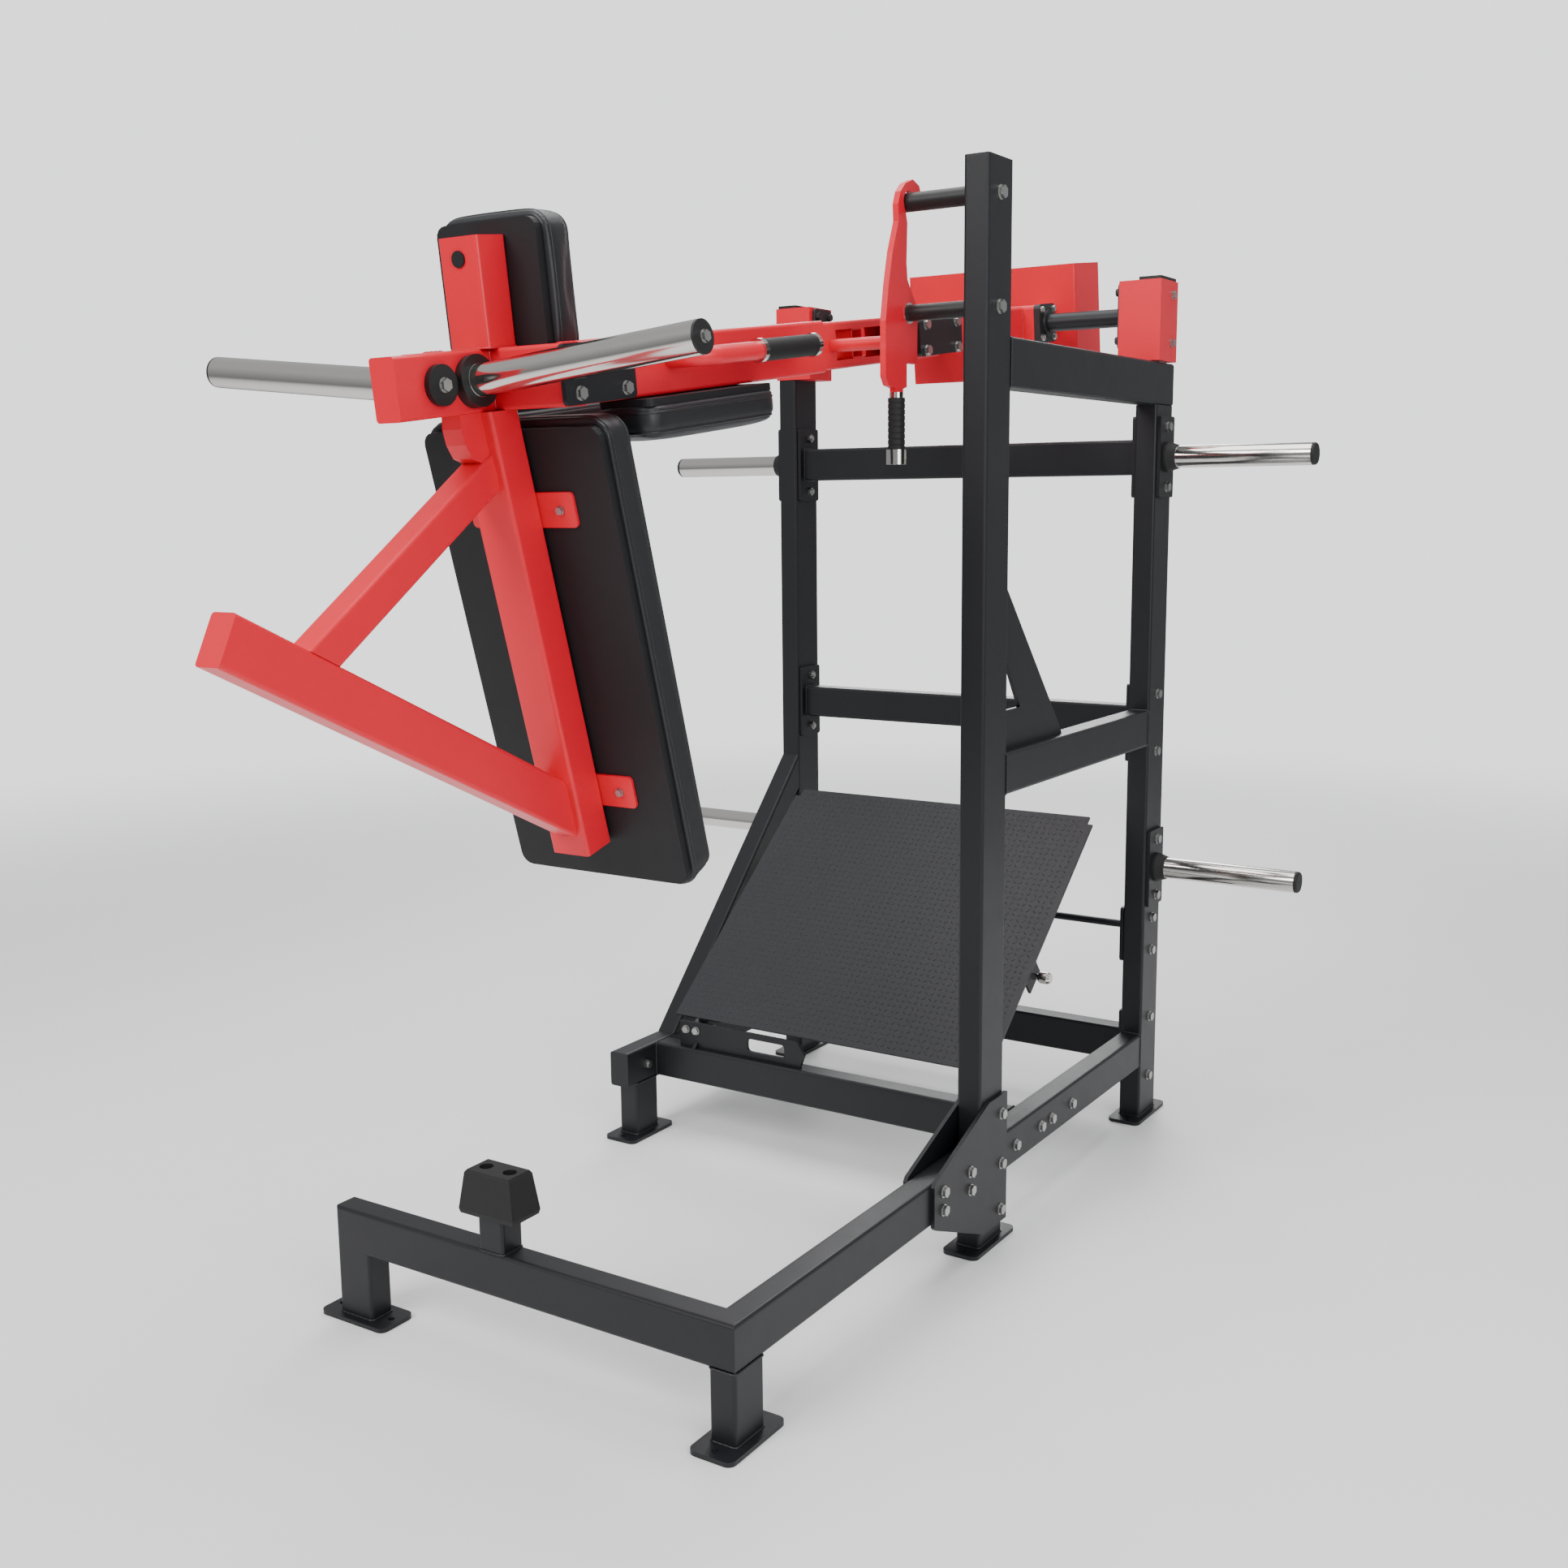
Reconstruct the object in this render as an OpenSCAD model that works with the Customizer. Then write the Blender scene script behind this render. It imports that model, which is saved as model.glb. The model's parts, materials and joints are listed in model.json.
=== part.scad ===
// Plate-loaded pendulum squat machine. Millimetres, +Z up, +X to the user's
// right hand seen from the front, +Y from the front stop towards the pivot
// uprights. Origin on the floor in the middle of the footprint box.

/* [Frame] */
// Outside width over the two rear uprights
frame_w = 990; // [960:10:1040]
// Width of the upright tube, across the machine
upright_w = 50; // [50:1:60]
// Depth of the upright tube, along the machine
upright_d = 100; // [90:5:100]
// Height of the tall front upright
tall_h = 2045; // [2000:5:2100]
// Height of the base and tie tubes
beam_h = 80; // [76:2:80]
// Height of the base tube tops above the floor
base_top = 210; // [200:5:220]
// Wall thickness of the rectangular tubes
wall = 3; // [2:0.5:4]
// Outside corner radius of the rectangular tubes
tube_r = 6; // [3:0.5:8]

/* [Pivot and swing arm] */
// Height of the main pivot axis above the floor
pivot_z = 1845; // [1840:1:1850]
// Rise of the swing arm towards the pivot at rest
arm_rise = 7; // [6.5:0.1:7.5]
// Outside width over the two yoke arms
yoke_w = 334; // [330:2:340]
// Height of the yoke arm tube
yoke_h = 95; // [90:1:100]
// Diameter of the pivot axle
axle_d = 40; // [35:1:42]
// Radial running clearance of the bearings
run_c = 0.04; // [0.02:0.01:0.08]
// Lean of the back post from vertical at rest
post_lean = 15.6; // [15:0.1:16]
// Fall of the stop beam at rest
stop_fall = 26; // [25.5:0.1:26.5]

/* [Plate horns] */
// Diameter of the loading horns on the arm
horn_d = 50; // [48:0.5:50]
// Length of the loading horns
horn_len = 438; // [380:2:450]
// Upward tilt of the loading horns
horn_tilt = 5.5; // [3:0.5:7]
// Diameter of the plate storage horns
store_d = 48; // [42:1:50]
// Length of the plate storage horns
store_len = 324; // [250:2:350]

/* [Pads] */
// Width of the back pad
pad_w = 400; // [360:10:420]
// Length of the back pad
pad_len = 832; // [790:1:834]
// Width of the head pad
head_w = 230; // [200:2:230]
// Cushion thickness of the back pad
pad_t = 68; // [50:1:70]

/* [Foot deck] */
// Width of the foot deck
deck_w = 804; // [780:2:808]
// Length of the foot deck along its slope
deck_len = 707; // [680:1:715]
// Slope of the foot deck at rest
deck_slope = 39.5; // [38:0.5:41]

/* [Hidden] */
$fn = 48;

// [y, z] for every pairing of the given y and z values
function grid(ys, zs) = [for (y = ys) for (z = zs) [y, z]];
function about(z, half) = [z - half, z + half];

// All y below are measured from the pivot axis, unless in the arm, post, stop or deck frame.
// Frame
beam_w = 50;
plate_t = 8;
bolt_d = 12;
peg_bolt_d = 14;
outer_x = frame_w/2;
inner_x = outer_x - upright_w;
side_x = outer_x - beam_w/2;
base_bottom = base_top - beam_h;
base_z = base_top - beam_h/2;
front_y = -1727;            // front face of the front tube
front_mid_y = front_y + beam_w/2;
cross_left_x = -373.5;      // left end of the front tube
left_leg_y = -717;
tall_y = -892;              // front face of the tall upright
tall_back_y = tall_y + upright_d;
tall_mid_y = (tall_y + tall_back_y)/2;
rear_half = upright_d/2;
mid_beam_bottom = 890;
mid_beam_top = 972;
top_beam_bottom = 1650;
top_beam_top = 1742;
bumper_z = 272;
housing_bottom = 1745;
housing_top = 1918;
upper_horn_z = 1537;        // upper rear tie and upper storage horns
mid_tie_z = 940;
lower_horn_z = 603;
horn_heights = [upper_horn_z, lower_horn_z];

// Bolt places on the frame sides, [y, z]
joint_holes = [[-814,262], [-814,160], [-817,66], [-947,188], [-947,152], [-1057,188], [-1057,152]];
base_holes = grid([-730, -609, -556, -451], [168]);
left_base_hole = [[left_leg_y, 168]];
upper_horn_holes = grid([0], about(upper_horn_z, 66));
lower_horn_holes = grid([0], about(lower_horn_z, 66));
inner_plate_holes = grid([0], concat(about(mid_tie_z, 66), about(base_z, 72), [482, 404]));
rear_holes = concat(upper_horn_holes, lower_horn_holes, inner_plate_holes);
housing_holes = grid([18], [1785, 1888]);
flange_holes = grid([-27, 27], about(pivot_z, 52));

// Swing arm, along and square to the arm
box_front = 139;
box_back = 285;
box_half_h = 129;
yoke_x = yoke_w/2;
arm_x = yoke_x - beam_w/2;
shoulder_x = yoke_x - 17;
handle_x = yoke_x + 68;
cross_front = -1684;        // cross beam of the yoke
cross_back = -1634;
right_horn_y = -1729;
left_horn_y = -1803;
front_splice = grid([-1657, -1542], [-29, 29]);
rear_splice = grid([-528, -392], [-29, 23]);
hub_holes = grid([-31, 31], [-31, 31]);

// Back post and stop beam
post_y = -1474;             // lower front corner of the back post
post_z = 853;
stop_y = -2225;             // lower front corner of the stop beam
stop_z = 1237;
pad_mid_z = pad_len/2 - 90;
// Moves the pivot-based frame to the footprint centre
box_reach = box_back*cos(arm_rise) + box_half_h*sin(arm_rise);
centre_y = -(stop_y + box_reach)/2;

// Foot deck
deck_x = -10;
deck_y = -645;
deck_z = 275;
hinge_y = -625;
hinge_z = 243;
pin_y = -400;               // tilt pin
pin_z = 420;
rod_y = -40;                // tie rod
rod_z = 467;
rod_r = 8.5;
bar_angle = atan2(rod_z - pin_z, rod_y - pin_y);
bar_len = norm([rod_y - pin_y, rod_z - pin_z]);
// Tilt pin in the deck frame
deck_pin_y = (pin_y-deck_y)*cos(deck_slope) + (pin_z-deck_z)*sin(deck_slope);
deck_pin_z = -(pin_y-deck_y)*sin(deck_slope) + (pin_z-deck_z)*cos(deck_slope);
bracket_bolts_x = [-368, -340];

// Latch
latch_y = -845;
latch_z = 1790;             // lever pivot peg
upper_peg_z = 1987;
peg_r = 15;
latch_holes = grid([latch_y], [latch_z, upper_peg_z]);

red = [0.78,0.13,0.15];
black = [0.16,0.165,0.175];
chrome = [0.82,0.82,0.80];
rubber = [0.07,0.07,0.075];
vinyl = [0.11,0.115,0.125];
zinc = [0.72,0.72,0.70];
graphite = [0.24,0.245,0.26];

// Outlines, [y, z] from the pivot axis in y and the floor in z
joint_outline = [[-788,300], [-868,300], [-1086,214], [-1092,206], [-1092,128], [-1086,122],
  [-905,46], [-892,38], [-788,38]];
latch_outline = [[-852,1700], [-812,1700], [-811,1786], [-817,1808], [-832,1826], [-850,1850],
  [-854,1880], [-851,1950], [-856,1966], [-862,1976], [-865.5,1987], [-863.5,1996], [-858,2003],
  [-850,2007.2], [-845,2007.6], [-822,2006.4], [-803.6,2003.8], [-799,2009], [-806,2022],
  [-830,2030], [-858,2020], [-877,2003], [-886,1980], [-884,1950], [-906,1895], [-921,1835],
  [-932,1770], [-932,1672], [-921,1656], [-896,1652], [-896,1645], [-866,1645], [-866,1652],
  [-852,1656]];
// Side outline of a shoulder pad in the arm frame, [y, z]
shoulder_top = -yoke_h/2 - 14;
shoulder_outline = [[-1533,shoulder_top], [-1149,shoulder_top], [-1149,-96], [-1155,-108],
  [-1168,-114], [-1520,-114], [-1530,-108], [-1533,-98]];

// ---- Frames of reference ----
module from_pivot() translate([0,centre_y,0]) children();
module on_arm() from_pivot() translate([0,0,pivot_z]) rotate([arm_rise,0,0]) children();
module on_post() from_pivot() translate([0,post_y,post_z]) rotate([post_lean,0,0]) children();
module on_stop() from_pivot() translate([0,stop_y,stop_z]) rotate([-stop_fall,0,0]) children();
module tilt_deck() translate([0,deck_y,deck_z]) rotate([deck_slope,0,0]) children();
module on_deck() from_pivot() tilt_deck() children();
module left() mirror([1,0,0]) children();
module both() {
  children();
  left() children();
}

// ---- Shared shapes ----
function rounded_rect(w, d, r, n=4) = [
  for (corner = [0:3]) for (i = [0:n])
    let (a = corner*90 + i*90/n,
      x = (corner==0 || corner==3 ? 1 : -1)*(w/2-r),
      y = (corner<2 ? 1 : -1)*(d/2-r))
    [x + r*cos(a), y + r*sin(a)]];
module rounded_plate(w, d, t, r, n=4) linear_extrude(t) polygon(rounded_rect(w,d,r,n));
module box(x0, x1, y0, y1, z0, z1) translate([x0,y0,z0]) cube([x1-x0,y1-y0,z1-z0]);

// Rectangular tube standing on Z; cap0 and cap1 are the thicknesses of closed ends
module tube(w, d, length, cap0=0, cap1=0, r=tube_r) {
  start = cap0>0 ? cap0 : -1;
  stop = length - (cap1>0 ? cap1 : -1);
  difference() {
    rounded_plate(w, d, length, r);
    translate([0,0,start]) linear_extrude(stop-start) square([w-2*wall,d-2*wall],center=true);
  }
}
module tube_z(x, y, z0, z1, w, d, cap0=0, cap1=0)
  translate([x,y,z0]) tube(w,d,z1-z0,cap0,cap1);
module tube_y(x, z, y0, y1, w, h, cap0=0, cap1=0, r=tube_r)
  translate([x,y0,z]) rotate([-90,0,0]) tube(w,h,y1-y0,cap0,cap1,r);
module tube_x(y, z, x0, x1, d, h, cap0=0, cap1=0, r=tube_r)
  translate([x0,y,z]) rotate([90,0,90]) tube(d,h,x1-x0,cap0,cap1,r);

module cyl_x(x0, x1, y, z, r) translate([x0,y,z]) rotate([0,90,0]) cylinder(h=x1-x0,r=r);
// [y, z] outline extruded from x0 to x1
module slab_x(x0, x1) translate([x0,0,0]) rotate([90,0,90]) linear_extrude(x1-x0) children();
// Rounded plate normal to X
module plate_x(x0, x1, y, z, w, h, r=8)
  translate([x0,y,z]) rotate([90,0,90]) rounded_plate(w,h,x1-x0,r);
// Rounded panel normal to Y, with its rear face at y
module panel_y(y, z, w, h, t, r, n=4)
  translate([0,y,z]) rotate([90,0,0]) rounded_plate(w,h,t,r,n);

// Hexagon bolt pointing out along +Z, with shank and nut below
module bolt(d, grip, nut=true) {
  shank = grip + (nut ? d*0.75+2 : 0);
  cylinder(h=2,r=d*0.95);
  translate([0,0,2]) cylinder(h=d*0.55,r=d*0.86,$fn=6);
  translate([0,0,-shank]) cylinder(h=shank+1,r=d/2);
  if (nut) translate([0,0,-grip-d*0.6]) cylinder(h=d*0.6,r=d*0.86,$fn=6);
}
module bolts_x(x, points, grip, d=bolt_d, nut=true)
  for (p = points) translate([x,p[0],p[1]]) rotate([0,90,0]) bolt(d,grip,nut);
module drill_x(x0, x1, points, d=bolt_d) for (p = points) cyl_x(x0,x1,p[0],p[1],d/2+0.3);
// Clearance holes through the right frame side and the plates on it
module drill_frame(points, d=bolt_d) drill_x(inner_x-9,outer_x+9,points,d);
// Clearance holes through the outer wall of the right yoke arm and its plates
module drill_splice(points) drill_x(yoke_x-15,yoke_x+9,points);

// ---- Base ----
// Cut at 45 degrees across the top left corner of the front tube; z is -200 or 0
module left_mitre(z) translate([cross_left_x,front_y-5,base_top]) rotate([0,45,0])
  translate([-50,0,z]) cube([300,60,200]);
// Cut at 45 degrees in plan at the front right corner; y is -300 or 0
module corner_mitre(y) translate([inner_x,front_y+50,base_bottom-5]) rotate([0,0,-45])
  translate([-300,y,0]) cube([600,300,beam_h+10]);

module front_cross_tube() color(black) from_pivot() difference() {
  tube_x(front_mid_y,base_z,cross_left_x,outer_x,beam_w,beam_h);
  left_mitre(-200);
  corner_mitre(0);
}
module front_side_tube() color(black) from_pivot() difference() {
  tube_y(side_x,base_z,front_y,tall_y-1,beam_w,beam_h,cap1=4);
  corner_mitre(-300);
  drill_frame(joint_holes);
}
module base_legs() color(black) from_pivot() {
  difference() {
    tube_z(cross_left_x+40,front_mid_y,plate_t,base_top,80,50);
    left_mitre(0);
  }
  tube_z(side_x,front_y+40,plate_t,base_bottom,50,80);
  tube_z(-side_x,left_leg_y,plate_t,base_bottom,50,80);
}

module bumper_post() color(black) from_pivot()
  tube_z(0,front_mid_y,base_top,bumper_z,55,50);
module on_bumper() from_pivot() translate([0,front_mid_y,bumper_z]) children();
module bumper_block() color(rubber) on_bumper() difference() {
  intersection() {
    translate([0,60,0]) rotate([90,0,0]) linear_extrude(120)
      polygon([[-58,0],[58,0],[60,8],[50,72],[46,77],[-46,77],[-50,72],[-60,8]]);
    slab_x(-80,80)
      polygon([[-33,0],[33,0],[35,8],[29,72],[26,77],[-26,77],[-29,72],[-35,8]]);
  }
  for (x = [-26,26]) {
    translate([x,0,40]) cylinder(h=40,r=12);
    translate([x,0,-1]) cylinder(h=45,r=5.3);
  }
}
module bumper_screws() color(zinc) on_bumper() for (x = [-26,26]) translate([x,0,0]) {
  translate([0,0,0.5]) cylinder(h=40,r=5);
  translate([0,0,40.2]) difference() {
    cylinder(h=9,r=8.5);
    translate([0,0,4]) cylinder(h=6,r=4.2,$fn=6);
  }
}

// ---- Uprights and beams ----
module tall_upright() color(black) from_pivot() difference() {
  tube_z(side_x,tall_mid_y,plate_t,tall_h,beam_w,upright_d);
  drill_frame(joint_holes);
  drill_frame(latch_holes,peg_bolt_d);
}
module joint_plates() color(black) from_pivot() difference() {
  for (x = [inner_x-plate_t, outer_x]) slab_x(x,x+plate_t) polygon(joint_outline);
  drill_frame(joint_holes);
}
module joint_bolts() color(zinc) from_pivot() bolts_x(outer_x+plate_t,joint_holes,66);
module right_base_beam() color(black) from_pivot() difference() {
  tube_y(side_x,base_z,tall_back_y+1,-rear_half-1,beam_w,beam_h,4,4);
  drill_frame(base_holes);
}
module right_mid_beam() color(black) from_pivot()
  tube_y(side_x,(mid_beam_top+mid_beam_bottom)/2,tall_back_y,-rear_half,
    beam_w,mid_beam_top-mid_beam_bottom);
module right_top_beam() color(black) from_pivot()
  tube_y(side_x,(top_beam_top+top_beam_bottom)/2,tall_back_y,rear_half,
    beam_w,top_beam_top-top_beam_bottom,cap1=4);
// Web in the corner of tall upright and middle beam, with a triangular window
module side_gusset() color(black) from_pivot() slab_x(side_x-4,side_x+4) difference() {
  polygon([[tall_back_y,mid_beam_top], [tall_back_y,1318], [tall_back_y+14,1308],
    [-496,mid_beam_top+14], [-488,mid_beam_top]]);
  polygon([[-757,1048],[-757,1148],[-690,1048]]);
}
module rear_upright(top) difference() {
  tube_z(side_x,0,plate_t,top,beam_w,upright_d);
  drill_frame(rear_holes);
}
module right_rear_upright() color(black) from_pivot() rear_upright(top_beam_bottom);
module left_rear_upright() color(black) from_pivot() left() rear_upright(housing_bottom);
module left_base_beam() color(black) from_pivot() left() difference() {
  tube_y(side_x,base_z,-787,-rear_half-1,beam_w,beam_h,4,4);
  drill_frame(left_base_hole);
}
module left_brace() color(black) from_pivot() left() difference() {
  translate([side_x,-601,218]) rotate([46.7,0,0]) tube_y(0,-30,-60,920,beam_w,60);
  box(inner_x-5,outer_x+5,-900,0,0,base_top);
  box(inner_x-5,outer_x+5,-rear_half,400,0,1600);
}
module front_low_beam() color(black) from_pivot()
  tube_x(-655,base_z,-inner_x,inner_x,beam_w,beam_h);
// Tie between the rear uprights, with a bolted plate at each end
module rear_tie(z, h) {
  tube_x(0,z,-inner_x+plate_t,inner_x-plate_t,beam_w,h);
  both() difference() {
    plate_x(inner_x-plate_t,inner_x,0,z,84,178,6);
    drill_frame(rear_holes);
  }
}
module rear_cross_beams() color(black) from_pivot() {
  rear_tie(upper_horn_z,beam_h-2);
  rear_tie(mid_tie_z,beam_h-4);
  rear_tie(base_z,beam_h);
}
module frame_bolts() color(zinc) from_pivot() {
  both() {
    bolts_x(outer_x+plate_t,upper_horn_holes,66);
    bolts_x(outer_x+plate_t,lower_horn_holes,58);
    bolts_x(outer_x,inner_plate_holes,58);
    bolts_x(outer_x+4,housing_holes,12,d=10,nut=false);
  }
  bolts_x(outer_x,base_holes,50);
  left() bolts_x(outer_x,left_base_hole,50);
  bolts_x(outer_x,latch_holes,48.5,d=peg_bolt_d,nut=false);
  for (x = bracket_bolts_x) translate([x,-664,250]) rotate([90,0,0]) bolt(10,8);
}
// Foot plate with two holes along its longer side
module foot(x, y, w, d) translate([x,y,0]) difference() {
  rounded_plate(w,d,plate_t,14);
  for (s = [-1,1])
    translate(w>d ? [s*(w/2-18),0,-1] : [0,s*(d/2-18),-1]) cylinder(h=10,r=6.5);
}
module foot_plates() color(black) from_pivot() {
  foot(cross_left_x+40,front_mid_y,158,80);
  foot(side_x,front_y+40,84,158);
  foot(side_x,tall_mid_y,76,178);
  foot(-side_x,left_leg_y,84,158);
  both() foot(side_x,0,76,178);
}

// ---- Storage horns ----
module storage_flanges() color(black) from_pivot() both() for (z = horn_heights) difference() {
  plate_x(outer_x,outer_x+plate_t,0,z,84,178,6);
  drill_frame(rear_holes);
  cyl_x(outer_x-1,outer_x+plate_t+1,0,z,15);
}
// Each storage horn axis as +Z, from the flange outwards
module storage_axes() from_pivot() both() for (z = horn_heights)
  translate([outer_x+plate_t,0,z]) rotate([0,90,0]) children();
module storage_tubes() color(chrome) storage_axes() difference() {
  union() {
    cylinder(h=store_len,r=store_d/2);
    cylinder(h=27,r=store_d/2+0.6);
  }
  translate([0,0,-1]) cylinder(h=store_len+2,r=store_d/2-3);
}
// Root collar and end plug of each horn, [radius, height]
module storage_collars() color(rubber) storage_axes() {
  r = store_d/2;
  rotate_extrude() polygon([[r+0.7,0],[r+9,0],[r+9,7],[r+2.5,26],[r+0.7,26]]);
  translate([0,0,store_len]) rotate_extrude()
    polygon([[0,-16],[r-3.2,-16],[r-3.2,0],[r-0.2,0],[r-0.2,5],[r-2.5,8],[0,8]]);
}

// ---- Pivot ----
module bearing_housings() color(red) from_pivot() both() difference() {
  box(inner_x-43,outer_x+4,-52,52,housing_bottom,housing_top);
  box(inner_x+4,outer_x-4,-44,44,housing_bottom+6,housing_top+1);
  cyl_x(inner_x-44,inner_x+2,0,pivot_z,axle_d/2+0.02);
  drill_x(outer_x-10,outer_x+6,housing_holes,10);
  drill_x(inner_x-44,inner_x-14,flange_holes,10);
}
// Covers of the tall upright and the housings, with the plugs below them
module end_caps() color(rubber) from_pivot() {
  translate([side_x,tall_mid_y,tall_h]) rounded_plate(50,upright_d,4,6);
  translate([side_x,tall_mid_y,tall_h-14]) rounded_plate(42,upright_d-8,14,2);
  both() {
    translate([outer_x-24,0,housing_top]) rounded_plate(52,96,7,5);
    translate([outer_x-24.5,0,housing_top-12]) rounded_plate(38,80,12,3);
  }
}
module pivot_axle() color(black) from_pivot() cyl_x(-inner_x,inner_x,0,pivot_z,axle_d/2);
module axle_flanges() color(rubber) from_pivot() both() {
  difference() {
    plate_x(inner_x-51,inner_x-43,0,pivot_z,76,140);
    cyl_x(inner_x-52,inner_x-42,0,pivot_z,axle_d/2+0.02);
    drill_x(inner_x-52,inner_x-42,flange_holes,10);
  }
  left() bolts_x(-(inner_x-51),flange_holes,26,d=10,nut=false);
}

// ---- Pegs, tie rod and deck bracket ----
module stop_pegs() color(rubber) from_pivot() difference() {
  union() {
    cyl_x(291,inner_x,latch_y,latch_z,peg_r);
    cyl_x(286,291,latch_y,latch_z,20);
    cyl_x(293,inner_x,latch_y,upper_peg_z,17);
  }
  drill_x(inner_x-40,inner_x+1,latch_holes,peg_bolt_d);
}
module tie_rod() color(black) from_pivot() {
  cyl_x(-inner_x+plate_t,inner_x-plate_t,rod_y,rod_z,rod_r);
  both() difference() {
    plate_x(inner_x-plate_t,inner_x,-12,444,74,128);
    drill_frame(rear_holes);
  }
}
module hinge_lug() {
  polygon([[-678,base_top], [-632,base_top], [hinge_y+17,hinge_z], [hinge_y-17,hinge_z+6],
    [-652,hinge_z-8]]);
  translate([hinge_y,hinge_z]) circle(r=17);
}
module hinge_bracket() color(black) from_pivot() {
  both() difference() {
    slab_x(336,344) hinge_lug();
    cyl_x(335,345,hinge_y,hinge_z,8.05);
  }
  difference() {
    translate([0,-656,0]) rotate([90,0,0]) linear_extrude(8) difference() {
      polygon([[-386,base_top],[-60,base_top],[-48,base_top+30],[-66,268],[-386,268]]);
      translate([-150,240]) polygon(rounded_rect(100,30,9));
    }
    for (x = bracket_bolts_x) translate([x,-650,250]) rotate([90,0,0]) cylinder(h=20,r=5.3);
  }
}

// ---- Latch, hung on the lower peg ----
module latch_lever() color(red) from_pivot() difference() {
  slab_x(298,310) polygon(latch_outline);
  cyl_x(297,311,latch_y,latch_z,19.02);
}
module on_latch_grip(z) translate([304,-881,z]) children();
module latch_grip() color(rubber) from_pivot() on_latch_grip(1541) difference() {
  cylinder(h=94,r=16);
  for (i = [0:7])
    translate([0,0,8+i*11]) rotate_extrude() translate([16.6,0]) circle(r=1.6,$fn=16);
  translate([0,0,-1]) cylinder(h=100,r=9.02);
}
module latch_rings() color(chrome) from_pivot() {
  difference() {
    cyl_x(296,312,latch_y,latch_z,19);
    cyl_x(295,313,latch_y,latch_z,peg_r+run_c);
  }
  difference() {
    union() {
      on_latch_grip(1516) cylinder(h=129,r=9);
      on_latch_grip(1514) cylinder(h=27,r=19);
      on_latch_grip(1635) cylinder(h=10,r=13);
    }
    on_latch_grip(1513) cylinder(h=12,r=7);
  }
}

// ---- Swing arm ----
module drill_hub() drill_x(170,210,hub_holes,8);
module hub_tube() color(red) on_arm() {
  difference() {
    tube_x(0,0,-195,195,84,84,r=8);
    cyl_x(-196,196,0,0,30);
    both() drill_hub();
  }
  both() {
    difference() {
      tube_y(arm_x,0,-452,-42,50,80,cap0=6);
      drill_splice(rear_splice);
    }
    tube_y(arm_x,0,42,box_front,50,80);
  }
}
module counterweight_box() color(red) on_arm() difference() {
  translate([0,(box_front+box_back)/2,-box_half_h])
    rounded_plate(440,box_back-box_front,2*box_half_h,6);
  box(-214,214,box_front+6,box_back-6,-box_half_h-1,box_half_h-6);
}
module ballast_plates() color(black) on_arm() for (i = [0:3])
  translate([0,box_front+9+i*32,0]) box(-210,210,0,30,-118,118);
module hub_bearings() color(rubber) on_arm() both() difference() {
  union() {
    plate_x(195,209,0,0,86,86,10);
    cyl_x(172,195,0,0,29.9);
    cyl_x(209,216,0,0,30);
  }
  cyl_x(171,217,0,0,axle_d/2+run_c);
  drill_hub();
}
module splice_plates() color(black) on_arm() both() difference() {
  union() {
    plate_x(yoke_x,yoke_x+plate_t,-1602,0,176,92);
    plate_x(yoke_x,yoke_x+plate_t,-460,-3,188,74);
  }
  drill_splice(concat(front_splice,rear_splice));
}
module arm_bolts() color(zinc) {
  on_arm() {
    both() {
      bolts_x(yoke_x+plate_t,concat(front_splice,rear_splice),20,nut=false);
      bolts_x(209,hub_holes,30,d=8,nut=false);
    }
    horn_axes() translate([0,0,horn_len+4]) bolt(10,12,nut=false);
    bolts_x(35,[[left_horn_y,0]],12,nut=false);
    left() bolts_x(35,[[right_horn_y,0]],12,nut=false);
  }
  on_post() pad_bolt_places() translate([0,49.97,0]) rotate([90,0,0]) bolt(8,8,nut=false);
}
module yoke_arms() color(red) on_arm() both() difference() {
  tube_y(arm_x,0,cross_back+1,-918,50,yoke_h,cap1=5);
  drill_splice(front_splice);
}
// Rear arm pieces with side windows, the tie between them and a peg on the right
module yoke_links() color(red) on_arm() {
  both() difference() {
    tube_y(yoke_x-26,0,-917,-454,48,88);
    box(yoke_x-55,yoke_x+5,-872,-684,-28,28);
    drill_splice(rear_splice);
  }
  tube_x(-790,0,-yoke_x+4,yoke_x-4,40,56,r=5);
  cyl_x(yoke_x-2,278,-888,0,12);
}
module nose_beam() color(red) on_arm() {
  difference() {
    tube_y(0,0,-1891,cross_front,50,yoke_h,cap0=5);
    drill_x(20,26,[[left_horn_y,0]]);
    drill_x(-26,-20,[[right_horn_y,0]]);
  }
  difference() {
    tube_x((cross_front+cross_back)/2,0,-yoke_x,yoke_x,50,yoke_h,10,10);
    both() drill_splice(front_splice);
  }
}

// ---- Loading horns ----
// Each loading horn axis as +Z, from the side of the nose beam outwards
module horn_axes() {
  translate([25,right_horn_y,0]) rotate([0,90-horn_tilt,0]) children();
  left() translate([25,left_horn_y,0]) rotate([0,90-horn_tilt,0]) children();
}
module nose_space() box(-25.05,25.05,-1900,-1600,-80,80);
module weight_horns() color(chrome) on_arm() difference() {
  horn_axes() translate([0,0,-8]) difference() {
    union() {
      cylinder(h=horn_len+8,r=horn_d/2);
      cylinder(h=25,r=horn_d/2+0.5);
    }
    translate([0,0,18]) cylinder(h=horn_len,r=horn_d/2-4);
  }
  nose_space();
}
// Washer on the side of the nose beam
module nose_washer(y) difference() {
  cyl_x(25.05,35,y,0,31);
  drill_x(20,40,[[y,0]]);
}
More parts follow.
